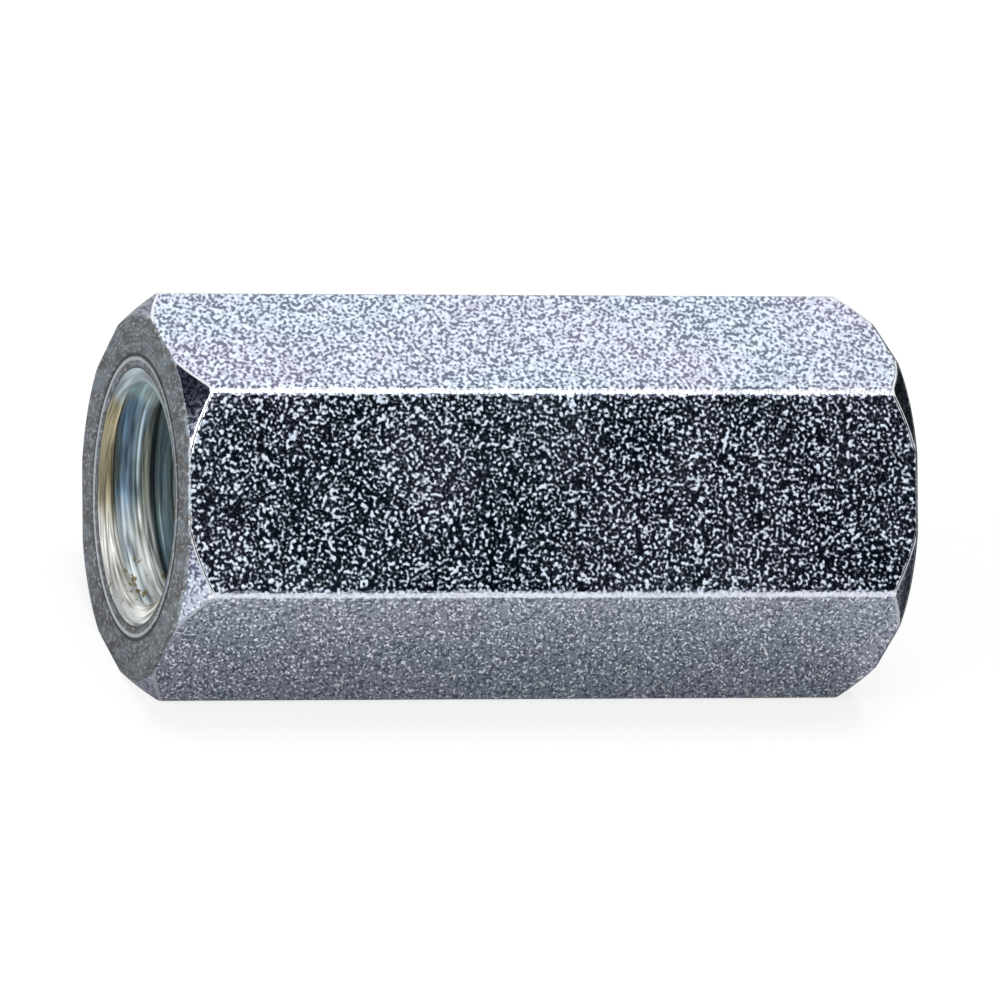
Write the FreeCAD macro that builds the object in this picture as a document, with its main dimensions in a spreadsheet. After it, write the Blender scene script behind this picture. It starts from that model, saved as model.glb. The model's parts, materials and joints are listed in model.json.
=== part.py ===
import FreeCAD, Part
import math
import os
import Sketcher

# A coupling nut: a long hexagon nut that joins two threaded rods end to end.
# It is one piece, cut from hexagon bar. Both ends are turned to a cone that takes the
# six corners off, the long edges are left slightly round, and one hole runs right
# through, with a countersunk mouth at each end.
#
# Frame, in millimetres: the origin is the middle of the hole's axis. +X runs along
# the hole, +Z is up, and the nut lies on the flat that faces down.

NODE = "nut_body"
SIDES = 6
FULL_TURN = 360
CLEAR_OF_CORNERS = 1
STRAIGHT = 1e-6

doc = FreeCAD.newDocument("coupling_nut")
sizes = doc.addObject("Spreadsheet::Sheet", "sizes")

driving_sizes = [
    ("across_flats", 13.9, "hexagon bar sold as 14 mm, less its drawing tolerance"),
    ("nut_length", 30, "end face to end face, three times the thread diameter"),
    ("corner_rounding", 0.5, "radius along the six long edges of the bar"),
    ("chamfer_depth", 0.95, "how far down each long edge the end cone reaches"),
    ("chamfer_angle", 47, "slope of the end cone from the end face, in degrees"),
    ("thread_diameter", 10, "outside diameter of the rod that screws in"),
    ("thread_depth", 0.7, "height of the thread's ridges, which end at the hole's wall"),
    ("mouth_margin", 0.45, "how far the countersunk mouth stands outside the rod"),
    ("mouth_angle", 155, "full angle of the shallow countersunk cone, in degrees"),
]
for row, (alias, value, meaning) in enumerate(driving_sizes, start=1):
    sizes.set("A%d" % row, str(value))
    sizes.setAlias("A%d" % row, alias)
    sizes.set("B%d" % row, meaning)
doc.recompute()


def size(alias):
    """A driving size as a plain number."""
    return float(sizes.get(alias))


body = doc.addObject("PartDesign::Body", "nut_body")
body.Label = NODE


def origin_plane(role):
    """The body's own origin plane, found by its role."""
    return next(f for f in body.Origin.OriginFeatures if f.Role == role)


def new_sketch(name, role):
    """An empty sketch lying flat on one of the body's origin planes."""
    sketch = body.newObject("Sketcher::SketchObject", name)
    sketch.AttachmentSupport = [(origin_plane(role), "")]
    sketch.MapMode = "FlatFace"
    return sketch


def dimension(sketch, name, constraint, formula):
    """Add a named dimension to a sketch and tie it to the sheet of sizes."""
    index = sketch.addConstraint(constraint)
    sketch.renameConstraint(index, name)
    sketch.setExpression("Constraints." + name, formula)


def check_cut(before, feature):
    """A cut that misses the metal leaves no error, so the volumes are compared."""
    doc.recompute()
    after = body.Shape.Volume
    if after >= before:
        raise RuntimeError(feature + " cuts nothing")
    print("%s takes off %.2f mm3" % (feature, before - after))
    return after


# The bar: a hexagon with one flat up and one flat down, drawn round a circle that
# touches all six flats.
hexagon = new_sketch("bar_section", "YZ_Plane")
corner_reach = size("across_flats") / math.sqrt(3)
corners = []
for k in range(SIDES):
    turn = 2 * math.pi * k / SIDES
    corners.append(FreeCAD.Vector(corner_reach * math.cos(turn), corner_reach * math.sin(turn), 0))
flat_lines = []
for k in range(SIDES):
    flat_lines.append(hexagon.addGeometry(Part.LineSegment(corners[k], corners[(k + 1) % SIDES]), False))
touching = Part.Circle(FreeCAD.Vector(0, 0, 0), FreeCAD.Vector(0, 0, 1), size("across_flats") / 2)
touching_circle = hexagon.addGeometry(touching, True)
hexagon.addConstraint(Sketcher.Constraint("Coincident", touching_circle, 3, -1, 1))
for k in range(SIDES):
    following = flat_lines[(k + 1) % SIDES]
    hexagon.addConstraint(Sketcher.Constraint("Coincident", flat_lines[k], 2, following, 1))
    hexagon.addConstraint(Sketcher.Constraint("Tangent", flat_lines[k], touching_circle))
for line in flat_lines[1:]:
    hexagon.addConstraint(Sketcher.Constraint("Equal", flat_lines[0], line))
hexagon.addConstraint(Sketcher.Constraint("Horizontal", flat_lines[1]))
dimension(hexagon, "flat_to_flat",
          Sketcher.Constraint("Diameter", touching_circle, size("across_flats")),
          "sizes.across_flats")

bar = body.newObject("PartDesign::Pad", "bar")
bar.Profile = hexagon
bar.SideType = "Symmetric"
bar.setExpression("Length", "sizes.nut_length")
doc.recompute()

# The six long edges are drawn slightly round, as bright bar is.


def long_edges(shape):
    """Names of the straight edges that run along X from end to end."""
    names = []
    for number, edge in enumerate(shape.Edges, start=1):
        box = edge.BoundBox
        if box.XLength > size("nut_length") / 2 and box.YLength + box.ZLength < STRAIGHT:
            names.append("Edge%d" % number)
    return names


rounded = body.newObject("PartDesign::Fillet", "rounded_corners")
rounded.Base = (bar, long_edges(bar.Shape))
rounded.setExpression("Radius", "sizes.corner_rounding")
volume = check_cut(bar.Shape.Volume, "rounding the long edges")

# The end cone: a triangle beside the end face, turned round the hole's axis. Its point
# lies on a rounded corner at the chamfer's depth, and its top clears the corners.
# Where the cone meets the six flats it leaves the curved edges of a turned nut.
ROUNDED_CORNER = "(sizes.across_flats / sqrt(3) - sizes.corner_rounding * (2 / sqrt(3) - 1))"
end_cone = new_sketch("end_cone", "XZ_Plane")
end_x = size("nut_length") / 2
corner_radius = size("across_flats") / math.sqrt(3) - size("corner_rounding") * (2 / math.sqrt(3) - 1)
slope = math.tan(math.radians(size("chamfer_angle")))
foot = FreeCAD.Vector(end_x, corner_radius - size("chamfer_depth") / slope, 0)
top = FreeCAD.Vector(end_x, corner_radius + CLEAR_OF_CORNERS, 0)
tip = FreeCAD.Vector(end_x - (top.y - foot.y) * slope, top.y, 0)
cone_side = end_cone.addGeometry(Part.LineSegment(foot, tip), False)
cone_top = end_cone.addGeometry(Part.LineSegment(tip, top), False)
cone_end = end_cone.addGeometry(Part.LineSegment(top, foot), False)
end_cone.addConstraint(Sketcher.Constraint("Coincident", cone_side, 2, cone_top, 1))
end_cone.addConstraint(Sketcher.Constraint("Coincident", cone_top, 2, cone_end, 1))
end_cone.addConstraint(Sketcher.Constraint("Coincident", cone_end, 2, cone_side, 1))
end_cone.addConstraint(Sketcher.Constraint("Horizontal", cone_top))
end_cone.addConstraint(Sketcher.Constraint("Vertical", cone_end))
dimension(end_cone, "end_face_place",
          Sketcher.Constraint("DistanceX", -1, 1, cone_side, 1, foot.x),
          "sizes.nut_length / 2")
dimension(end_cone, "cone_foot_radius",
          Sketcher.Constraint("DistanceY", -1, 1, cone_side, 1, foot.y),
          ROUNDED_CORNER + " - sizes.chamfer_depth / tan(sizes.chamfer_angle * 1 deg)")
dimension(end_cone, "cone_top_radius",
          Sketcher.Constraint("DistanceY", -1, 1, cone_top, 2, top.y),
          ROUNDED_CORNER + " + %g" % CLEAR_OF_CORNERS)
dimension(end_cone, "cone_slope",
          Sketcher.Constraint("Angle", cone_end, 2, cone_side, 1, math.radians(size("chamfer_angle"))),
          "sizes.chamfer_angle")

end_chamfer = body.newObject("PartDesign::Groove", "end_chamfer")
end_chamfer.Profile = end_cone
end_chamfer.ReferenceAxis = (end_cone, ["H_Axis"])
end_chamfer.Angle = FULL_TURN
volume = check_cut(volume, "end chamfer")

# The hole for the rods. Its wall stands at the inner edge of the thread's ridges.
hole_circle = new_sketch("hole_circle", "YZ_Plane")
hole_radius = size("thread_diameter") / 2 - size("thread_depth")
hole_edge = Part.Circle(FreeCAD.Vector(0, 0, 0), FreeCAD.Vector(0, 0, 1), hole_radius)
hole_geometry = hole_circle.addGeometry(hole_edge, False)
hole_circle.addConstraint(Sketcher.Constraint("Coincident", hole_geometry, 3, -1, 1))
dimension(hole_circle, "hole_diameter",
          Sketcher.Constraint("Diameter", hole_geometry, 2 * hole_radius),
          "sizes.thread_diameter - 2 * sizes.thread_depth")

hole = body.newObject("PartDesign::Pocket", "hole")
hole.Profile = hole_circle
hole.SideType = "Symmetric"
hole.setExpression("Length", "sizes.nut_length + 2 * sizes.mouth_margin")
volume = check_cut(volume, "hole")

# The countersunk mouth lets a rod find the hole. Its triangle has one corner on the
# end face, outside the rod, one on the hole's axis and one where the cone closes.
mouth_cone = new_sketch("mouth_cone", "XZ_Plane")
mouth_radius = size("thread_diameter") / 2 + size("mouth_margin")
mouth_depth = mouth_radius / math.tan(math.radians(size("mouth_angle") / 2))
rim = FreeCAD.Vector(end_x, mouth_radius, 0)
closing = FreeCAD.Vector(end_x - mouth_depth, 0, 0)
middle = FreeCAD.Vector(end_x, 0, 0)
mouth_side = mouth_cone.addGeometry(Part.LineSegment(rim, closing), False)
mouth_axis = mouth_cone.addGeometry(Part.LineSegment(closing, middle), False)
mouth_end = mouth_cone.addGeometry(Part.LineSegment(middle, rim), False)
mouth_cone.addConstraint(Sketcher.Constraint("Coincident", mouth_side, 2, mouth_axis, 1))
mouth_cone.addConstraint(Sketcher.Constraint("Coincident", mouth_axis, 2, mouth_end, 1))
mouth_cone.addConstraint(Sketcher.Constraint("Coincident", mouth_end, 2, mouth_side, 1))
mouth_cone.addConstraint(Sketcher.Constraint("PointOnObject", mouth_axis, 1, -1))
mouth_cone.addConstraint(Sketcher.Constraint("Horizontal", mouth_axis))
mouth_cone.addConstraint(Sketcher.Constraint("Vertical", mouth_end))
dimension(mouth_cone, "end_face_place",
          Sketcher.Constraint("DistanceX", -1, 1, mouth_side, 1, rim.x),
          "sizes.nut_length / 2")
dimension(mouth_cone, "mouth_radius",
          Sketcher.Constraint("DistanceY", -1, 1, mouth_side, 1, rim.y),
          "sizes.thread_diameter / 2 + sizes.mouth_margin")
dimension(mouth_cone, "mouth_depth",
          Sketcher.Constraint("DistanceX", mouth_side, 2, mouth_side, 1, mouth_depth),
          "(sizes.thread_diameter / 2 + sizes.mouth_margin) / tan(sizes.mouth_angle / 2 * 1 deg)")

countersink = body.newObject("PartDesign::Groove", "countersink")
countersink.Profile = mouth_cone
countersink.ReferenceAxis = (mouth_cone, ["H_Axis"])
countersink.Angle = FULL_TURN
volume = check_cut(volume, "countersink")

# The other end is the same, so both cuts are mirrored across the middle of the nut.
other_end = body.newObject("PartDesign::Mirrored", "other_end")
other_end.Originals = [end_chamfer, countersink]
other_end.MirrorPlane = (origin_plane("YZ_Plane"), [""])
body.Tip = other_end
volume = check_cut(volume, "the other end")

# Nothing is written unless every object is sound.
faults = [o.Label for o in doc.Objects if {"Invalid", "Error"} & set(o.State)]
if faults:
    raise RuntimeError("these objects failed: " + ", ".join(faults))
shape = body.Shape
if shape.isNull() or not shape.isValid() or len(shape.Solids) != 1:
    raise RuntimeError("the nut is not one sound solid")

os.makedirs("parts", exist_ok=True)
shape.exportStep(os.path.join("parts", NODE + ".step"))
print("%s: %d faces, %.2f mm3" % (NODE, len(shape.Faces), shape.Volume))
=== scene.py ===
# %% [markdown]
# # A zinc-plated coupling nut
#
# A coupling nut is a long hexagon nut that joins two threaded rods end to end. The real
# one is cut from hexagon bar, turned to a cone at both ends, drilled, countersunk and
# tapped, and then plated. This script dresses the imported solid: it makes one closed
# surface with the rounded edges and the real thread, gives it the mottled plate, and
# sets up the light and the camera.

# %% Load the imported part
import json
import math
import bmesh
import bpy
import numpy as np
from mathutils import Matrix, Vector


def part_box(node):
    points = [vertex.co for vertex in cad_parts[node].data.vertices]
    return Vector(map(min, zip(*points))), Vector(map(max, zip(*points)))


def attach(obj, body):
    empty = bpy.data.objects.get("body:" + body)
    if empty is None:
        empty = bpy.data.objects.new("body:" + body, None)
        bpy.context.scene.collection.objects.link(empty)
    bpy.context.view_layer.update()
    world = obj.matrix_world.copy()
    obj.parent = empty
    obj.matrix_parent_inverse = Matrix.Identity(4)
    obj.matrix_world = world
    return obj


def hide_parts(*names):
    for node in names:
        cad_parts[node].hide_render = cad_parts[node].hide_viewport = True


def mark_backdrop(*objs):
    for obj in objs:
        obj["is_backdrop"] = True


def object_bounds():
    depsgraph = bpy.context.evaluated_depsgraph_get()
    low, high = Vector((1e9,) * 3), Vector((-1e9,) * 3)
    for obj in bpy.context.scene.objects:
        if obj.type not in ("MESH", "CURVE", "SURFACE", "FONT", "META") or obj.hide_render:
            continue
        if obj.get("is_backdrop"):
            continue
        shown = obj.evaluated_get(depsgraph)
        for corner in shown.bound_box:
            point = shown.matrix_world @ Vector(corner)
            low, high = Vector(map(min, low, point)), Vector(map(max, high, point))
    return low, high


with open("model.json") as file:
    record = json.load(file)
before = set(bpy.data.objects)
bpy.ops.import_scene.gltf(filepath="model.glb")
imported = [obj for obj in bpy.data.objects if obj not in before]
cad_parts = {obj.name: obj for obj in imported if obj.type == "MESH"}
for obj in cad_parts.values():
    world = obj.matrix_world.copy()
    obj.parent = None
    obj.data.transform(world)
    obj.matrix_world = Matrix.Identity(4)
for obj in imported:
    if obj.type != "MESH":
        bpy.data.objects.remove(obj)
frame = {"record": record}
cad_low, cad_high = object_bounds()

MM = 0.001
NODE = "nut_body"

# %% [markdown]
# ## Sizes
#
# Length and width come from the solid itself, and the hole's wall from the record's
# mount, so the visual model can't drift away from the part. The few sizes below are
# those that the solid's box doesn't tell, such as the radius along the long edges.

# %% Read the sizes from the frame
node_low, node_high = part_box(NODE)
half_length = (node_high[0] - node_low[0]) / 2
across_flats = node_high[2] - node_low[2]
mounts = {m["name"]: m for m in frame["record"]["mounts"]}
wall_radius = mounts["left_thread"]["dims"]["r_mm"] * MM

corner_rounding = 0.5 * MM
chamfer_depth = 0.95 * MM
chamfer_slope = math.radians(47)
edge_rounding = 0.17 * MM
end_rounding = 0.05 * MM
corner_reach = across_flats / math.sqrt(3) - corner_rounding * (2 / math.sqrt(3) - 1)
end_circle = corner_reach - chamfer_depth / math.tan(chamfer_slope)
print("length %.2f mm, across flats %.2f mm" % (2 * half_length / MM, across_flats / MM))
print("end circle %.2f mm, hole %.2f mm" % (2 * end_circle / MM, 2 * wall_radius / MM))

# %% [markdown]
# ## The section of the bar
#
# The nut is one closed surface on a grid. One direction of the grid goes round the
# hole's axis, and the other follows a loop along the outside, over the end face, back
# through the hole and out over the other end face. The columns of the grid are places
# round the axis. They crowd on the six rounded corners, where the section bends. Blocks
# joined by booleans would give the same form, but not such even faces for the plate.

# %% Columns round the axis
SIDES = 6
CORNER_STEPS = 7
FLAT_STEPS = 14


def bar_section():
    """Angle and reach of each column round the axis.

    Corner: an arc of the rounding's radius about a centre on the corner ray.
    Flat: reach is half the width across flats over the cosine of the angle from its middle.
    """
    centre = (across_flats / 2 - corner_rounding) * 2 / math.sqrt(3)
    turn = np.radians(np.linspace(-30, 30, CORNER_STEPS))
    y = centre + corner_rounding * np.cos(turn)
    z = corner_rounding * np.sin(turn)
    corner_angle, reach_at_corner = np.arctan2(z, y), np.hypot(y, z)
    flat_angle = np.linspace(corner_angle[-1], math.pi / 3 - corner_angle[-1], FLAT_STEPS + 2)[1:-1]
    reach_at_flat = across_flats / 2 / np.cos(flat_angle - math.pi / 6)
    side_angle = np.concatenate([corner_angle, flat_angle])
    side_reach = np.concatenate([reach_at_corner, reach_at_flat])
    sides = np.arange(SIDES)[:, None] * math.pi / 3
    angle = (side_angle + sides).ravel()
    reach = np.tile(side_reach, SIDES)
    return np.append(angle, angle[0] + 2 * math.pi), np.append(reach, reach[0])


angle, reach = bar_section()
print("columns round the axis:", len(angle) - 1)

# %% [markdown]
# ## The outside, from one mouth to the other
#
# Turning the ends to a cone leaves the curved edges where the cone meets the flats.
# Each column is a profile: end face, cone, flat. It could be the solid's own mesh with a
# bevel, but a bevel goes wrong where curved edges run out, so each profile is pulled in
# by the rounding's radius and its corners are drawn as arcs. Where the cone misses the
# middle of a flat, its two arcs join into one quarter circle.

# %% End face, cone and flat as a profile for every column
FACE_STEPS = 5
ARC_STEPS = 6
LIP_REACH = 5.74 * MM


def end_profile(reach):
    """Depth from the end plane and radius, rows running from the lip out to the flat.

    First arc, rounding f: centre at depth f, radius the end circle less f times tan(half the slope).
    Second arc, rounding e: radius the reach less e, depth where the cone, pulled in by e, meets it.
    """
    e, f = edge_rounding, end_rounding
    cos, sin = math.cos(chamfer_slope), math.sin(chamfer_slope)
    inner_radius = np.minimum(end_circle - f * math.tan(chamfer_slope / 2), reach - e + (e - f) * sin)
    cone_depth = (reach - end_circle) * sin / cos + e * (1 - sin) / cos
    outer_depth = np.maximum(cone_depth, e * cos + f * (1 - cos))
    share = np.linspace(0, 1, FACE_STEPS)[:, None]
    face = (np.zeros((FACE_STEPS, len(reach))), LIP_REACH + share * (inner_radius - LIP_REACH))
    first = np.linspace(0, chamfer_slope, ARC_STEPS)[1:, None]
    second = np.linspace(chamfer_slope, math.pi / 2, ARC_STEPS)[:, None]
    arc_in = (f - f * np.cos(first) + 0 * reach, inner_radius + f * np.sin(first))
    arc_out = (outer_depth - e * np.cos(second), reach - e + e * np.sin(second))
    depth = np.concatenate([face[0], arc_in[0], arc_out[0]])
    radius = np.concatenate([face[1], arc_in[1], arc_out[1]])
    return depth, radius


outer_depth, outer_radius = end_profile(reach)
print("rows from the lip to the flat:", len(outer_depth))

# %% [markdown]
# ## The mouth
#
# Facing the end leaves a small bead round the mouth, with a shallow groove outside it
# and a nearly flat ring inside. From the ring a very open cone leads to the thread.
# These are turned shapes, the same in every column, so a short list of depths and radii
# in millimetres is enough for the bead, the groove and the ring.

# %% Bead, groove and ring round the mouth
ring_depth = np.array([66, 57, 47, 32, 8, 0, 4, 30, 50, 50, 30, 6]) * 0.001 * MM
ring_radius = np.array([5.06, 5.15, 5.28, 5.36, 5.40, 5.44, 5.48, 5.52, 5.56, 5.60, 5.64, 5.68]) * MM
cone_start_depth, cone_start_radius = 0.07 * MM, 5.02 * MM
mouth_half_angle = math.radians(75)
mouth_end_depth = 0.28 * MM
print("groove beside the bead: %.2f mm deep" % (ring_depth[8:10].max() / MM))

# %% [markdown]
# ## The thread
#
# The thread is a helix of 1.5 mm pitch with 60 degree flanks, and flat ridges and
# grooves. Its lines in the photo lean the way of a left-hand thread, so the hand is -1.
# The rows of the grid climb with the helix, so every ridge keeps its own rows, and each
# turn has the same rows, so that the last column meets the first. In the mouth cone the
# rows are plain rings instead, because there the cone cuts the ridges away. A row that
# climbs out of the hole is pushed back onto the last ring, and points that fall
# together there are merged later. A Screw modifier makes a helix with less code, but its
# open ends would have to be cut and closed at both mouths.

# %% Thread sizes and the radius at any place in the hole
pitch = 1.5 * MM
groove_radius = 5.0 * MM
thread_hand = -1
ridge_share = 0.336  # of the pitch, as the next one
groove_share = 0.125
flank_share = (1 - ridge_share - groove_share) / 2
softness = 0.03 * MM
ridge_angle = math.radians(-30)
thread_start = (half_length / pitch + thread_hand * ridge_angle / (2 * math.pi)) % 1
print("turns of thread: %.1f" % (2 * half_length / pitch))


def thread_radius(along):
    """Radius of the thread from its place along the pitch, in pitches from a ridge's start.

    Straight lines: ridge flat, flank out to the groove, groove flat, flank back in.
    """
    place = np.mod(along, 1)
    corners = np.cumsum([0, ridge_share, flank_share, groove_share, flank_share])
    radii = [wall_radius, wall_radius, groove_radius, groove_radius, wall_radius]
    return np.interp(place, corners, radii)


def hole_radius(x, angle):
    """Radius of the finished hole: the larger of the thread and the two mouth cones.

    Larger of a and b, with a soft corner: half of a + b + root of (a - b) squared plus k squared.
    """
    along = x / pitch - thread_hand * angle / (2 * math.pi) + thread_start
    thread = thread_radius(along)
    depth = half_length - np.abs(x)
    cone = cone_start_radius - (depth - cone_start_depth) * math.tan(mouth_half_angle)
    return (thread + cone + np.sqrt((thread - cone) ** 2 + softness ** 2)) / 2


# %% Rings in the mouth, and rows that climb with the helix
CORNER_GAP = 0.02
ROW_STEP = 0.045
MOUTH_RINGS = 14


def rows_in_one_pitch():
    """Places along one pitch: one close beside each corner of the profile, and even steps between."""
    corners = np.cumsum([0, ridge_share, flank_share, groove_share])
    starts, stops = corners + CORNER_GAP, np.append(corners[1:], 1) - CORNER_GAP
    counts = ((stops - starts) / ROW_STEP).astype(int) + 2
    return np.concatenate([np.linspace(*run) for run in zip(starts, stops, counts)])


turns = math.ceil(2 * half_length / pitch) + 3
first_turn = -math.ceil(half_length / pitch) - 1
helix_rows = (np.arange(turns)[:, None] + first_turn + rows_in_one_pitch()).reshape(-1, 1)
climb = thread_hand * angle / (2 * math.pi)
helix_x = (helix_rows - thread_start + climb) * pitch
helix_x = np.clip(helix_x, mouth_end_depth - half_length, half_length - mouth_end_depth)
ring_x = np.linspace(cone_start_depth, mouth_end_depth, MOUTH_RINGS)[:, None] + 0 * angle - half_length
inside_x = np.concatenate([ring_x, helix_x, -ring_x[::-1]])
inside_radius = hole_radius(inside_x, angle)
print("rows in the hole:", len(inside_x))

# %% [markdown]
# ## One closed skin
#
# The rows of both ends and of the hole are stacked into one loop and joined into
# faces. The last row meets the first along the flats, and the last column lies on the
# first, so after merging the doubles the skin is closed. Its enclosed volume tells
# whether the faces look outwards.

# %% Stack the rows and make the mesh
MERGE = 0.0005 * MM


def end_rows():
    """Depth and radius of one end, from the flat inwards to the mouth, for every column."""
    same = np.ones(len(reach))
    depth = np.concatenate([outer_depth[::-1], ring_depth[::-1, None] * same])
    radius = np.concatenate([outer_radius[::-1], ring_radius[::-1, None] * same])
    return depth, radius


def skin_mesh(name):
    """Grid of rows by columns, y and z being the radius times the cosine and sine of the angle."""
    depth, radius = end_rows()
    x = np.concatenate([depth - half_length, inside_x, half_length - depth[::-1]])
    r = np.concatenate([radius, inside_radius, radius[::-1]])
    points = np.stack([x, r * np.cos(angle), r * np.sin(angle)], axis=-1)
    rows, columns = x.shape
    number = np.arange(rows * columns).reshape(rows, columns)
    after = np.roll(number, -1, axis=0)
    faces = np.stack([number[:, :-1], number[:, 1:], after[:, 1:], after[:, :-1]], axis=-1)
    mesh = bpy.data.meshes.new(name)
    mesh.from_pydata(points.reshape(-1, 3), [], faces.reshape(-1, 4))
    return mesh


def close_up(mesh):
    """Merges the doubles, drops what has no area, and turns the faces outwards if they aren't."""
    shape = bmesh.new()
    shape.from_mesh(mesh)
    bmesh.ops.remove_doubles(shape, verts=shape.verts, dist=MERGE)
    bmesh.ops.dissolve_degenerate(shape, edges=shape.edges, dist=MERGE)
    if shape.calc_volume(signed=True) < 0:
        bmesh.ops.reverse_faces(shape, faces=shape.faces)
    volume = shape.calc_volume(signed=True)
    open_edges = sum(not edge.is_manifold for edge in shape.edges)
    shape.to_mesh(mesh)
    shape.free()
    print("volume %.1f mm3, edges left open: %d" % (volume / MM ** 3, open_edges))


nut_mesh = skin_mesh("coupling_nut")
close_up(nut_mesh)
nut_mesh.shade_smooth()
nut = bpy.data.objects.new("coupling_nut", nut_mesh)
bpy.context.scene.collection.objects.link(nut)
even = nut.modifiers.new("even_normals", "WEIGHTED_NORMAL")
even.mode = "FACE_AREA"
nut_mesh.calc_loop_triangles()
print("triangles:", len(nut_mesh.loop_triangles))

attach(nut, "root")
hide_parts(NODE)

# %% [markdown]
# ## Helpers for the shader
#
# A shader is a small network of nodes. Written out one by one they would fill pages, so
# these helpers make one node each, feed it and hand back its output. Every node goes to
# the next place of a plain grid, which keeps the network readable in the editor.

# %% Nodes, products and the larger of two
NODES_IN_A_ROW = 14
NODE_SPACING = 220


def add(tree, kind, **values):
    """A node of that kind with its properties set, in the next place of the grid."""
    row, column = divmod(len(tree.nodes), NODES_IN_A_ROW)
    node = tree.nodes.new(kind)
    node.location = (column * NODE_SPACING, -row * NODE_SPACING)
    for key, value in values.items():
        setattr(node, key, value)
    return node


def feed(tree, socket, value):
    """Links the socket to another, or writes a plain number or a colour into it."""
    if isinstance(value, bpy.types.NodeSocket):
        tree.links.new(value, socket)
    elif isinstance(value, tuple):
        socket.default_value = (*value, 1)
    else:
        socket.default_value = value


def math_node(tree, operation, first, second=0.0, clamp=False):
    """A math node whose inputs are sockets or plain numbers."""
    node = add(tree, "ShaderNodeMath", operation=operation, use_clamp=clamp)
    feed(tree, node.inputs[0], first)
    feed(tree, node.inputs[1], second)
    return node.outputs[0]


def times(tree, first, second):
    """First times second."""
    return math_node(tree, "MULTIPLY", first, second)


def larger(tree, first, second):
    """The larger of first and second."""
    return math_node(tree, "MAXIMUM", first, second)


def less(tree, first, second, clamp=False):
    """First less second, kept between 0 and 1 if clamped."""
    return math_node(tree, "SUBTRACT", first, second, clamp)


# %% Masks, noise and colours
def step_mask(tree, value, start, full):
    """0 at start, 1 at full, and a smooth step between, whichever of the two is the larger."""
    node = add(tree, "ShaderNodeMapRange", interpolation_type="SMOOTHSTEP", clamp=True)
    feed(tree, node.inputs["Value"], value)
    feed(tree, node.inputs["From Min"], start)
    feed(tree, node.inputs["From Max"], full)
    return node.outputs["Result"]


def band_mask(tree, value, inner_step, outer_step):
    """1 between two steps: the product of a mask that rises and one that falls."""
    return times(tree, step_mask(tree, value, *inner_step), step_mask(tree, value, *outer_step))


def noise(tree, vector, size, detail, roughness=0.5):
    """Noise whose blobs are about that size in metres: the scale is half of one over the size."""
    node = add(tree, "ShaderNodeTexNoise")
    feed(tree, node.inputs["Vector"], vector)
    feed(tree, node.inputs["Scale"], 0.5 / size)
    feed(tree, node.inputs["Detail"], detail)
    feed(tree, node.inputs["Roughness"], roughness)
    return node.outputs["Fac"]


COLOUR_MIX_SOCKETS = (0, 6, 7)
COLOUR_MIX_RESULT = 2


def colour_mix(tree, mask, first, second, blend="MIX"):
    """First colour where the mask is 0, second where it is 1; each a socket or a colour."""
    node = add(tree, "ShaderNodeMix", data_type="RGBA", blend_type=blend)
    for number, value in zip(COLOUR_MIX_SOCKETS, (mask, first, second)):
        feed(tree, node.inputs[number], value)
    return node.outputs[COLOUR_MIX_RESULT]


def stops_ramp(tree, value, stops):
    """Colour that runs evenly from stop to stop; each stop is a place and a colour or a grey."""
    node = add(tree, "ShaderNodeValToRGB")
    feed(tree, node.inputs[0], value)
    elements = node.color_ramp.elements
    colours = [(place, shade if isinstance(shade, tuple) else (shade,) * 3) for place, shade in stops]
    elements[0].position, elements[0].color = colours[0][0], (*colours[0][1], 1)
    elements[1].position, elements[1].color = colours[-1][0], (*colours[-1][1], 1)
    for place, colour in colours[1:-1]:
        elements.new(place).color = (*colour, 1)
    return node.outputs[0]


# %% [markdown]
# ## Where on the nut a point is
#
# Everything below is worked out from the Object coordinates: how far the point is from
# the axis, how deep it lies under the nearer end, and how far inside the turned cone and
# the rounded corners. From these come masks for the hole, the end face, the cone and the
# edges. A mask is 0 or 1 with a short smooth step between. The edges get a mask of their
# own, which carries a painted highlight along them. Separate materials on separate faces
# would do too, but they would end in hard steps along the mesh's edges.

# %% Distances from the axis, the end, the cone and the corners
material = bpy.data.materials.new("mottled_zinc_plate")
material.use_nodes = True
tree = material.node_tree
shader = tree.nodes["Principled BSDF"]
place = add(tree, "ShaderNodeTexCoord").outputs["Object"]
parts = add(tree, "ShaderNodeSeparateXYZ")
feed(tree, parts.inputs[0], place)
x_place, y_place, z_place = parts.outputs["X"], parts.outputs["Y"], parts.outputs["Z"]
squares = math_node(tree, "ADD", times(tree, y_place, y_place), times(tree, z_place, z_place))
out = math_node(tree, "SQRT", squares)
under_end = less(tree, half_length, math_node(tree, "ABSOLUTE", x_place))
cone_radius = math_node(tree, "ADD", times(tree, under_end, 1 / math.tan(chamfer_slope)), end_circle)
under_cone = less(tree, cone_radius, out)
under_corner = less(tree, corner_reach, out)
print("nodes for the distances:", len(tree.nodes))

# %% Masks for the hole, the turned faces and the edges
HOLE_STEP = (5.045 * MM, 5.015 * MM)
END_STEP = (0.12 * MM, 0.09 * MM)
CONE_STEP = (0.08 * MM, 0.04 * MM)
CURVED_EDGE_STEPS = ((0.004 * MM, 0.012 * MM), (0.11 * MM, 0.07 * MM))
LONG_EDGE_STEP = (0.018 * MM, 0.006 * MM)
LONG_EDGE_SHARE = 0.55

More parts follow.
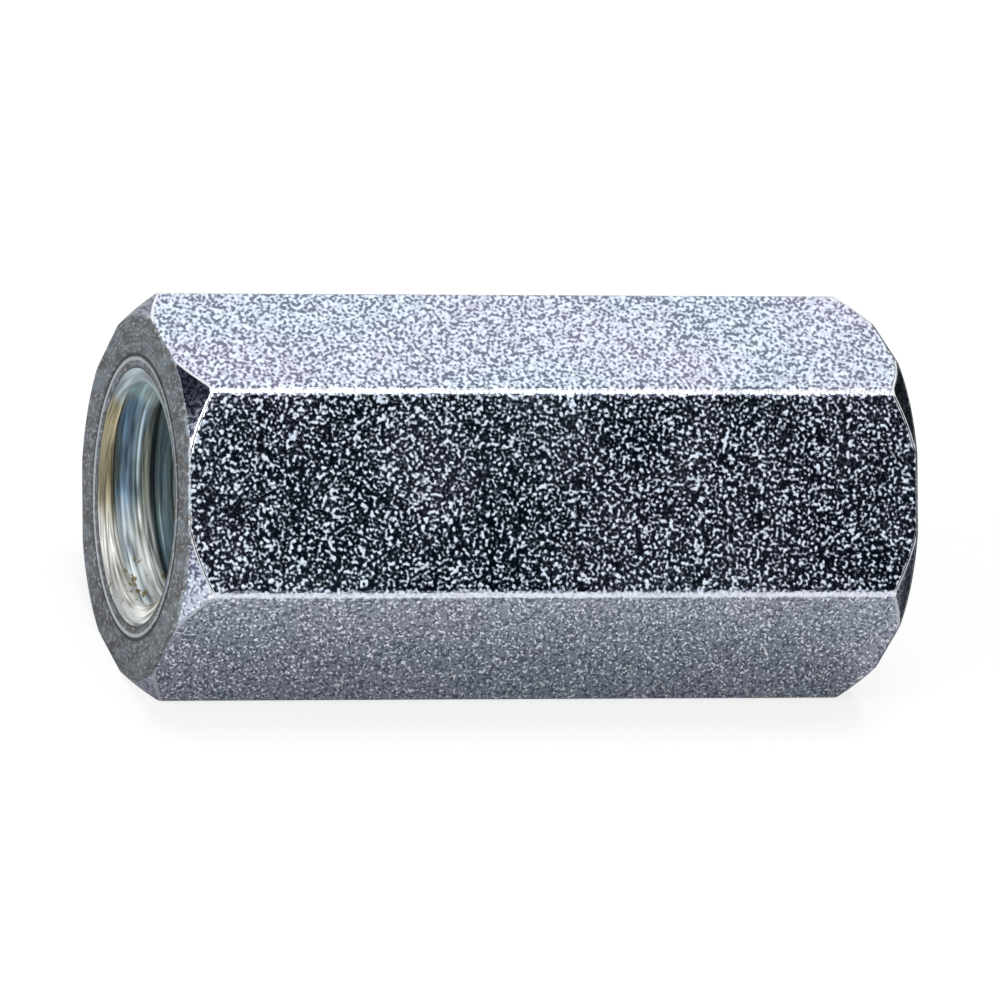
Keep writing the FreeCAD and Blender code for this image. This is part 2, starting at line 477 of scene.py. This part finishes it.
in_hole = step_mask(tree, out, *HOLE_STEP)
near_end = step_mask(tree, under_end, *END_STEP)
on_end = less(tree, near_end, in_hole, clamp=True)
on_cone = less(tree, step_mask(tree, under_cone, *CONE_STEP), near_end, clamp=True)
turned = larger(tree, on_end, on_cone)
# Edge masks: in the colour they carry a painted highlight along the edges.
curved_edge = less(tree, band_mask(tree, under_cone, *CURVED_EDGE_STEPS), near_end, clamp=True)
long_edge = times(tree, step_mask(tree, under_corner, *LONG_EDGE_STEP), LONG_EDGE_SHARE)
edges = larger(tree, curved_edge, long_edge)
print("nodes with the masks:", len(tree.nodes))

# %% [markdown]
# ## Grains and pits
#
# The bar was rough before it was plated, so the flats glitter. Each grain is a small
# matt hill in a shiny ground, and each pit, a low place of the same noise, is a little
# darker. The same grains look white on the flat that mirrors something dark, and
# grey on the flat that mirrors something white.
#
# In the photo the grain looks as coarse on the slanted flats as on the one that faces
# the camera, so the real grains are drawn out across the bar. The noise is drawn out
# the same way, along one direction square to the axis. The high places of the noise
# become matt grains, the low places dark pits, and the noise itself lifts the surface.
# The flats that face down have smaller grains, and their colour is a copy of the plate
# with whiter grains and fewer pits, painted for the tone those flats take in this light.
# Real hills in the mesh would need millions of faces, so a bump does the lifting.

# %% Grains and pits
DRAWN_TURN = (math.radians(-27.1), 0, math.radians(-21.3))
DRAWN_SCALE = (1.0, 3.0, 1.0)
GRAIN_SIZE, SMALL_GRAIN_SIZE, SPECK_SIZE, PATCH_SIZE = 0.068 * MM, 0.055 * MM, 0.07 * MM, 1.6 * MM
GRAIN_STEP, SMALL_GRAIN_STEP = (0.50, 0.73), (0.52, 0.72)
PIT_STEP, SPECK_STEP = (0.53, 0.38), (0.50, 0.74)
FACES_DOWN_STEP = (0.1 * MM, -0.1 * MM)

mapping = add(tree, "ShaderNodeMapping", vector_type="TEXTURE")
mapping.inputs["Rotation"].default_value = DRAWN_TURN
mapping.inputs["Scale"].default_value = DRAWN_SCALE
feed(tree, mapping.inputs["Vector"], place)
drawn_out = mapping.outputs["Vector"]
lumps = noise(tree, drawn_out, GRAIN_SIZE, 0.6)
grains = step_mask(tree, lumps, *GRAIN_STEP)
pits = step_mask(tree, lumps, *PIT_STEP)
small_grains = step_mask(tree, noise(tree, drawn_out, SMALL_GRAIN_SIZE, 1.0), *SMALL_GRAIN_STEP)
specks = step_mask(tree, noise(tree, drawn_out, SPECK_SIZE, 1.0, 0.6), *SPECK_STEP)
patches = noise(tree, place, PATCH_SIZE, 3.0)
faces_down = step_mask(tree, z_place, *FACES_DOWN_STEP)
print("nodes with the grains:", len(tree.nodes))

# %% [markdown]
# ## The turned end
#
# The end face was cut after the bar was drawn, so it shows rings round the axis and a
# duller, browner metal, with a few bright specks. The rings are waves of the distance
# from the axis, made uneven by noise, because the tool's marks are finer than the mesh.
# The bead gets a painted highlight, and the groove beside it and the lip of the hole painted shade.

# %% Rings and stains of the end face
RING_SPACING = 0.19 * MM
RING_DRIFT = 9.0
RING_STEP, STAIN_STEP = (-2.6, 1.2), (0.36, 0.64)
STAIN_SIZE = 0.26 * MM
BROWN_METAL, BLUE_METAL, RING_METAL = (0.15, 0.137, 0.122), (0.31, 0.37, 0.41), (0.12, 0.13, 0.145)
SPECK_METAL = (0.50, 0.52, 0.55)

stain = noise(tree, drawn_out, STAIN_SIZE, 3.0, 0.7)
wave = math_node(tree, "ADD", times(tree, out, 2 * math.pi / RING_SPACING), times(tree, stain, RING_DRIFT))
rings = math_node(tree, "SINE", wave)
dull = colour_mix(tree, step_mask(tree, stain, *STAIN_STEP), BROWN_METAL, BLUE_METAL)
dull = colour_mix(tree, step_mask(tree, rings, *RING_STEP), RING_METAL, dull)
dull = colour_mix(tree, specks, dull, SPECK_METAL)
print("nodes with the rings and stains:", len(tree.nodes))

# %% Bead, groove and lip round the mouth
BEAD_STEPS = ((5.30 * MM, 5.38 * MM), (5.49 * MM, 5.45 * MM))
GROOVE_STEPS = ((5.49 * MM, 5.53 * MM), (5.68 * MM, 5.61 * MM))
LIP_STEP = (5.12 * MM, 5.06 * MM)
BEAD_SHARE, GROOVE_SHARE, LIP_SHARE = 0.75, 0.85, 0.9
BEAD_HIGHLIGHT, GROOVE_SHADE, LIP_SHADE = (0.80, 0.83, 0.88), (0.03, 0.03, 0.035), (0.05, 0.05, 0.055)

# Painted highlight on the bead, painted shade in the groove and on the lip.
bead = band_mask(tree, out, *BEAD_STEPS)
groove = band_mask(tree, out, *GROOVE_STEPS)
lip = step_mask(tree, out, *LIP_STEP)
dull = colour_mix(tree, times(tree, bead, BEAD_SHARE), dull, BEAD_HIGHLIGHT)
dull = colour_mix(tree, times(tree, groove, GROOVE_SHARE), dull, GROOVE_SHADE)
dull = colour_mix(tree, times(tree, lip, LIP_SHARE), dull, LIP_SHADE)
print("nodes with the end face:", len(tree.nodes))

# %% [markdown]
# ## Tints and painted shade of the thread
#
# Zinc plate is passivated, and the thin film it leaves shows straw, blue and green
# where it is thicker. In the photo the first ridge is straw, the flank behind it blue
# and the next ridge greenish, with light edges and black lines where the flanks face
# inwards, away from the light. So the tint follows the depth, with noise, and runs darker
# deep in the hole, a painted shade. The light edges and black lines are painted highlights
# and painted shade, which follow the place along the thread's own pitch. The place is
# worked out as it was for the rows: x over the pitch, less the share of a turn, plus the
# start. Light still reaches the flank of the first turn, so its painted black line is thinner.

# %% Place along the pitch
turn = math_node(tree, "ARCTAN2", z_place, y_place)
turn_share = times(tree, turn, -thread_hand / (2 * math.pi))
climbed = math_node(tree, "ADD", times(tree, x_place, 1 / pitch), turn_share)
climbed = math_node(tree, "ADD", climbed, thread_start)
thread_place = math_node(tree, "FRACT", climbed)
print("nodes with the place along the pitch:", len(tree.nodes))

# %% Tint by depth and painted shade by the place along the pitch
TINT_DEPTH = 3.2 * MM
CLOUD_SIZE, CLOUD_SHARE = 0.9 * MM, 0.30
FILM_TINTS_AND_DEPTH_SHADE = [
    (0.10, (0.74, 0.66, 0.44)), (0.20, (0.62, 0.53, 0.31)), (0.34, (0.66, 0.60, 0.40)),
    (0.44, (0.46, 0.64, 0.82)), (0.58, (0.52, 0.66, 0.76)), (0.68, (0.66, 0.72, 0.58)),
    (0.82, (0.46, 0.52, 0.48)), (1.0, (0.26, 0.35, 0.38))]
FRONT_SHADES = [(0.0, 1.0), (0.05, 0.62), (0.29, 0.62)]
BACK_SHADES = [(0.73, (0.75, 0.85, 0.95)), (0.93, (0.62, 0.66, 0.66)), (0.965, (0.20, 0.20, 0.16)),
               (1.0, 1.0)]
DEEP_FLANK = [(0.325, 1.0), (0.36, 0.03), (0.57, 0.05), (0.63, (0.95, 0.97, 1.0))]
FIRST_FLANK = [(0.32, 0.9), (0.35, 0.03), (0.39, 0.05), (0.43, (0.8, 0.85, 0.9))]
FIRST_TURN_STEP = (1.4 * MM, 1.1 * MM)

cloud = times(tree, noise(tree, place, CLOUD_SIZE, 2.0, 0.55), CLOUD_SHARE)
tint_place = math_node(tree, "ADD", times(tree, under_end, 1 / TINT_DEPTH), cloud)
# The tints run darker deep in the hole: a painted shade as well as the film's colours.
tint = stops_ramp(tree, tint_place, FILM_TINTS_AND_DEPTH_SHADE)
# Painted shade and highlights: black lines on the inward flanks, light edges on the ridges.
deep_shade = stops_ramp(tree, thread_place, FRONT_SHADES + DEEP_FLANK + BACK_SHADES)
first_shade = stops_ramp(tree, thread_place, FRONT_SHADES + FIRST_FLANK + BACK_SHADES)
shade = colour_mix(tree, step_mask(tree, under_end, *FIRST_TURN_STEP), deep_shade, first_shade)
print("nodes with the tints:", len(tree.nodes))

# %% [markdown]
# ## Streaks, painted light and shade, and the rust
#
# The tap leaves fine streaks along the thread. They are noise that is drawn out along
# the turn. The lower part of the hole is painted white in patches, a painted light, with
# a few brown spots of rust in it, and the upper part has a lighter teal tint, film colour
# and painted light both. In both parts the thread's painted shade is lifted towards white.
# Right at the rim, the mouth's cone is painted darker above and below, a painted shade.

# %% Streaks, painted light and shade, and the rust
STREAK_SIZE, STREAK_TURN = 0.07 * MM, 1.2 * MM
STREAK_SHADES = [(0.38, 0.34), (0.60, 1.25)]
HIGH_STEP, LOW_STEP = (1.7 * MM, 2.5 * MM), (-1.8 * MM, -3.3 * MM)
LOW_LIGHT_DEPTH, LOW_LIGHT_STEP, LOW_LIGHT_SHARE = (2.35 * MM, 2.05 * MM), (0.25, 0.55), 0.85
LOW_LIFT, HIGH_LIFT = 0.6, 0.45
TEAL_TINT_AND_LIGHT, LOW_PAINTED_WHITE, WHITE = (0.82, 1.0, 1.0), (1.0, 1.0, 0.98), (1.0, 1.0, 1.0)
RUST_SIZE, RUST_STEP, RUST_HEIGHT = 0.25 * MM, (0.57, 0.66), (-3.7 * MM, -4.1 * MM)
RUST = (0.26, 0.19, 0.07)
RIM_STEP, LOWEST_STEP = (0.30 * MM, 0.22 * MM), (-3.6 * MM, -4.6 * MM)
HIGH_DIM, LOWEST_DIM, RIM_SHADE = 0.6, 0.45, (0.18, 0.21, 0.23)

drawn_round = add(tree, "ShaderNodeCombineXYZ")
feed(tree, drawn_round.inputs[0], math_node(tree, "ADD", times(tree, climbed, pitch), out))
feed(tree, drawn_round.inputs[1], times(tree, turn_share, STREAK_TURN))
streak = noise(tree, drawn_round.outputs[0], STREAK_SIZE, 2.0, 0.6)
# Painted light: white patches low in the hole, a lighter teal high in it, and the thread's painted shade
# lifted in both.
high_part = step_mask(tree, z_place, *HIGH_STEP)
low_part = times(tree, step_mask(tree, z_place, *LOW_STEP), step_mask(tree, under_end, *LOW_LIGHT_DEPTH))
low_painted_light = times(tree, low_part, step_mask(tree, streak, *LOW_LIGHT_STEP))
tint = colour_mix(tree, high_part, tint, TEAL_TINT_AND_LIGHT)
tint = colour_mix(tree, times(tree, low_painted_light, LOW_LIGHT_SHARE), tint, LOW_PAINTED_WHITE)
lift = larger(tree, times(tree, low_part, LOW_LIFT), times(tree, high_part, HIGH_LIFT))
shade = colour_mix(tree, lift, shade, WHITE)
bore = colour_mix(tree, 1.0, tint, shade, "MULTIPLY")
bore = colour_mix(tree, 1.0, bore, stops_ramp(tree, streak, STREAK_SHADES), "MULTIPLY")
rust = step_mask(tree, noise(tree, place, RUST_SIZE, 2.0, 0.6), *RUST_STEP)
bore = colour_mix(tree, times(tree, rust, step_mask(tree, z_place, *RUST_HEIGHT)), bore, RUST)
# Painted shade: the rim of the mouth darker above and below.
lowest = times(tree, step_mask(tree, z_place, *LOWEST_STEP), LOWEST_DIM)
dim = larger(tree, times(tree, high_part, HIGH_DIM), lowest)
bore = colour_mix(tree, times(tree, step_mask(tree, under_end, *RIM_STEP), dim), bore, RIM_SHADE)
print("nodes with the hole:", len(tree.nodes))

# %% [markdown]
# ## Put the plate together
#
# Grains are matt and half metallic, the ground between them is a mirror, and the hole
# is dull all over. The ground's hue drifts a little from blue to lavender. Edges get a
# painted highlight, and hills are lower on the turned faces.

# %% Colour
HUE_SIZE, HUE_STEP = 3.5 * MM, (0.34, 0.66)
BLUE_GROUND, LAVENDER_GROUND = (0.49, 0.56, 0.66), (0.53, 0.54, 0.67)
BLUE_PIT, LAVENDER_PIT = (0.09, 0.12, 0.18), (0.13, 0.125, 0.20)
GRAIN_WHITE, SMALL_GRAIN_WHITE, EDGE_HIGHLIGHT = (0.72, 0.81, 0.92), (0.95, 0.97, 1.0), (0.80, 0.82, 0.85)
LOWER_PIT_SHARE = 0.75

hue = step_mask(tree, noise(tree, place, HUE_SIZE, 2.0), *HUE_STEP)
ground = colour_mix(tree, hue, BLUE_GROUND, LAVENDER_GROUND)
pit_floor = colour_mix(tree, hue, BLUE_PIT, LAVENDER_PIT)
upper = colour_mix(tree, pits, ground, pit_floor)
upper = colour_mix(tree, grains, upper, GRAIN_WHITE)
# Painted light and shade: the flats that face down get a copy with whiter grains and fewer pits.
lower = colour_mix(tree, times(tree, pits, LOWER_PIT_SHARE), ground, pit_floor)
lower = colour_mix(tree, small_grains, lower, SMALL_GRAIN_WHITE)
rolled = colour_mix(tree, faces_down, upper, lower)
outside = colour_mix(tree, on_end, rolled, dull)
# Painted highlight along the curved and long edges.
outside = colour_mix(tree, edges, outside, EDGE_HIGHLIGHT)
feed(tree, shader.inputs["Base Color"], colour_mix(tree, in_hole, outside, bore))
print("nodes with the colour:", len(tree.nodes))

# %% Roughness and metal
PATCH_RANGE, SHINE_RANGE = (0.35, 0.65), (0.15, 0.22)
GRAIN_MATT, END_MATT, HOLE_MATT = 0.30, 0.26, 0.26
GRAIN_HAZE, HOLE_HAZE = 0.55, 0.6

matt_grains = colour_mix(tree, faces_down, grains, small_grains)
matt_grains = times(tree, matt_grains, less(tree, 1.0, turned))
matt_grains = times(tree, matt_grains, less(tree, 1.0, edges))
rough = add(tree, "ShaderNodeMapRange")
feed(tree, rough.inputs["Value"], patches)
for name, value in zip(("From Min", "From Max", "To Min", "To Max"), PATCH_RANGE + SHINE_RANGE):
    feed(tree, rough.inputs[name], value)
matt = larger(tree, times(tree, matt_grains, GRAIN_MATT), times(tree, near_end, END_MATT))
matt = larger(tree, matt, times(tree, in_hole, HOLE_MATT))
feed(tree, shader.inputs["Roughness"], math_node(tree, "ADD", rough.outputs["Result"], matt))
haze = larger(tree, times(tree, matt_grains, GRAIN_HAZE), times(tree, in_hole, HOLE_HAZE))
feed(tree, shader.inputs["Metallic"], less(tree, 1.0, haze))
print("roughness between %.2f and %.2f" % (SHINE_RANGE[0], SHINE_RANGE[1] + GRAIN_MATT))

# %% Hills
TURNED_CALM, EDGE_CALM, HOLE_CALM = 0.6, 0.8, 0.9
HILL_HEIGHT = 0.028 * MM

calm = larger(tree, times(tree, turned, TURNED_CALM), times(tree, edges, EDGE_CALM))
calm = larger(tree, calm, times(tree, in_hole, HOLE_CALM))
bump = add(tree, "ShaderNodeBump")
bump.inputs["Strength"].default_value = 1.0
bump.inputs["Distance"].default_value = HILL_HEIGHT
feed(tree, bump.inputs["Height"], times(tree, lumps, less(tree, 1.0, calm)))
feed(tree, shader.inputs["Normal"], bump.outputs["Normal"])
nut_mesh.materials.append(material)
print("nodes in the plate:", len(tree.nodes))

# %% [markdown]
# ## Floor and room
#
# The nut lies on a pale floor in a white room. What the camera sees of both is white,
# and the floor keeps the nut's soft shadow. In the nut's own mirrors the floor is
# darker, because the lower flat in the photo mirrors something greyer than the paper
# behind the nut. Light Path tells the shader which kind of ray is asking.

# %% Floor
floor_z = node_low[2]
FLOOR_HALF = 3.0
FLOOR_PAINT, FLOOR_IN_MIRRORS = (0.9, 0.9, 0.9), (0.36, 0.36, 0.37)
FLOOR_SEEN, FLOOR_MIRRORED = 0.8, 0.08


def path_share(tree, seen, mirrored):
    """One share for what the camera sees itself, one for what a mirror or glass shows, 0 elsewhere."""
    path = add(tree, "ShaderNodeLightPath")
    through = larger(tree, path.outputs["Is Glossy Ray"], path.outputs["Is Transmission Ray"])
    return larger(tree, times(tree, path.outputs["Is Camera Ray"], seen), times(tree, through, mirrored))


def mixed(tree, share, first, second, output_kind):
    """Shader that is first where the share is 0 and second where it is 1, led to the output."""
    both = add(tree, "ShaderNodeMixShader")
    for socket, value in zip(both.inputs, (share, first.outputs[0], second.outputs[0])):
        feed(tree, socket, value)
    feed(tree, add(tree, output_kind).inputs["Surface"], both.outputs[0])


floor_mesh = bpy.data.meshes.new("floor")
floor_corners = [(-1, -1), (1, -1), (1, 1), (-1, 1)]
floor_points = [(FLOOR_HALF * a, FLOOR_HALF * b, floor_z) for a, b in floor_corners]
floor_mesh.from_pydata(floor_points, [], [(0, 1, 2, 3)])
floor = bpy.data.objects.new("floor", floor_mesh)
bpy.context.scene.collection.objects.link(floor)
floor_paint = bpy.data.materials.new("pale_floor")
floor_paint.use_nodes = True
tree = floor_paint.node_tree
tree.nodes.clear()
paint = add(tree, "ShaderNodeBsdfDiffuse")
mirrored = add(tree, "ShaderNodeLightPath").outputs["Is Glossy Ray"]
feed(tree, paint.inputs["Color"], colour_mix(tree, mirrored, FLOOR_PAINT, FLOOR_IN_MIRRORS))
glow = add(tree, "ShaderNodeEmission")
mixed(tree, path_share(tree, FLOOR_SEEN, FLOOR_MIRRORED), paint, glow, "ShaderNodeOutputMaterial")
floor_mesh.materials.append(floor_paint)
print("floor at z %.2f mm" % (floor_z / MM))

# %% White room
ROOM_LIGHT, ROOM_STRENGTH = (0.8, 0.85, 0.9), 0.45

world = bpy.data.worlds.new("white_room")
bpy.context.scene.world = world
world.use_nodes = True
tree = world.node_tree
tree.nodes.clear()
room = add(tree, "ShaderNodeBackground")
feed(tree, room.inputs["Color"], ROOM_LIGHT)
feed(tree, room.inputs["Strength"], ROOM_STRENGTH)
white = add(tree, "ShaderNodeBackground")
feed(tree, white.inputs["Color"], WHITE)
mixed(tree, path_share(tree, 1.0, 1.0), room, white, "ShaderNodeOutputWorld")
print("room light:", ROOM_STRENGTH)

# %% [markdown]
# ## Panels and cards
#
# A mirror shows what stands round it, so the light is made of large soft panels, and a
# few cards give each flat its own tone, as a product photographer would place them. The
# dark card beside the camera is what the middle flat mirrors. Pale and dark cards lie on
# the floor for the lower flat and the turned ends. Only mirrors see the cards: they
# throw no shadow, and the camera doesn't see them.

# %% Panels and cards
def facing(place, target=(0, 0, 0)):
    """Turn that points an object's -Z from its place to the target."""
    return (Vector(target) - Vector(place)).to_track_quat("-Z", "Y").to_matrix().to_4x4()


def soft_panel(name, place, width, height, power):
    """An area lamp of that size and power that looks at the nut."""
    lamp = bpy.data.lights.new(name, "AREA")
    lamp.shape, lamp.size, lamp.size_y = "RECTANGLE", width, height
    lamp.energy = power
    holder = bpy.data.objects.new(name, lamp)
    holder.matrix_world = Matrix.Translation(place) @ facing(place)
    bpy.context.scene.collection.objects.link(holder)
    print("%s: %.3f W" % (name, power))


def mirror_card(name, place, width, height, shade, target=(0, 0, 0)):
    """A matt card that faces the target and that only mirrors see."""
    turn = Matrix.Translation(place) @ facing(place, target)
    corners = [(-1, -1), (1, -1), (1, 1), (-1, 1)]
    points = [turn @ Vector((a * width / 2, b * height / 2, 0)) for a, b in corners]
    mesh = bpy.data.meshes.new(name)
    mesh.from_pydata([tuple(p) for p in points], [], [(0, 1, 2, 3)])
    card = bpy.data.objects.new(name, mesh)
    bpy.context.scene.collection.objects.link(card)
    card_paint = bpy.data.materials.new(name)
    card_paint.use_nodes = True
    sockets = card_paint.node_tree.nodes["Principled BSDF"].inputs
    sockets["Base Color"].default_value = (*shade, 1)
    sockets["Roughness"].default_value = 1.0
    sockets["Specular IOR Level"].default_value = 0.0
    mesh.materials.append(card_paint)
    card.visible_camera = False
    card.visible_shadow = False
    card.visible_diffuse = False
    return card


def floor_card(name, x, y, width, depth, shade):
    """A mirror card that lies just above the floor, face up."""
    return mirror_card(name, (x, y, floor_z + 0.1 * MM), width, depth, shade, (x, y, 1))


soft_panel("overhead_panel", (0.0, -0.06, 0.45), 0.25, 0.20, 1.7)
soft_panel("back_panel", (0.13, 0.33, 0.18), 0.14, 0.10, 0.016)
soft_panel("left_panel", (-0.22, -0.15, 0.22), 0.14, 0.12, 0.55)
front_card = mirror_card("front_card", (0.041, -0.103, 0.060), 0.16, 0.078, (0.004, 0.013, 0.022))
left_card = mirror_card("left_card", (-0.106, 0.045, 0.082), 0.11, 0.085, (0.008, 0.012, 0.03))
right_card = mirror_card("right_card", (0.050, 0.019, 0.010), 0.055, 0.030, (0.012, 0.014, 0.016))
side_card = floor_card("side_card", -0.034, -0.016, 0.030, 0.030, (0.75, 0.75, 0.74))
low_card = floor_card("low_card", 0.006, -0.034, 0.048, 0.040, (0.8, 0.8, 0.8))
end_card = floor_card("end_card", 0.0332, 0.0137, 0.036, 0.036, (0.02, 0.02, 0.022))
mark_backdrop(floor, front_card, left_card, right_card, side_card, low_card, end_card)

# %% [markdown]
# ## Camera
#
# The photo was taken from far away with a long lens, a little above the nut and to its
# left, with the camera turned until the nut's axis was level. The place, the point it
# looks at and the lens were fitted to the outline of the nut in the photo.

# %% Camera
camera_place = Vector((-175.215, -448.775, 245.866)) * MM
aim = Vector((0.046, -0.070, -0.095)) * MM
camera_roll = math.radians(10.071)
camera_data = bpy.data.cameras.new("camera")
camera_data.sensor_width, camera_data.lens = 36.0, 495.43
camera_data.clip_start, camera_data.clip_end = 0.01, 20.0
camera = bpy.data.objects.new("camera", camera_data)
look = (aim - camera_place).to_track_quat("-Z", "Y").to_matrix().to_4x4()
camera.matrix_world = Matrix.Translation(camera_place) @ look @ Matrix.Rotation(camera_roll, 4, "Z")
bpy.context.scene.collection.objects.link(camera)
bpy.context.scene.camera = camera
bpy.context.scene.view_settings.view_transform = "Standard"
print("camera %.0f mm away, lens %.0f mm" % ((camera_place - aim).length / MM, camera_data.lens))

# %% [markdown]
# ## Boxes
#
# Both boxes, the solid's and the visual model's, are printed. The visual model may not
# be larger than the solid.

# %% Print the boxes and finish
bpy.context.view_layer.update()
new_low, new_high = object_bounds()
boxes = {"cad": [list(cad_low), list(cad_high)], "visual": [list(new_low), list(new_high)]}
for name, box in boxes.items():
    print(name, "box in mm:", [[round(value / MM, 3) for value in corner] for corner in box])
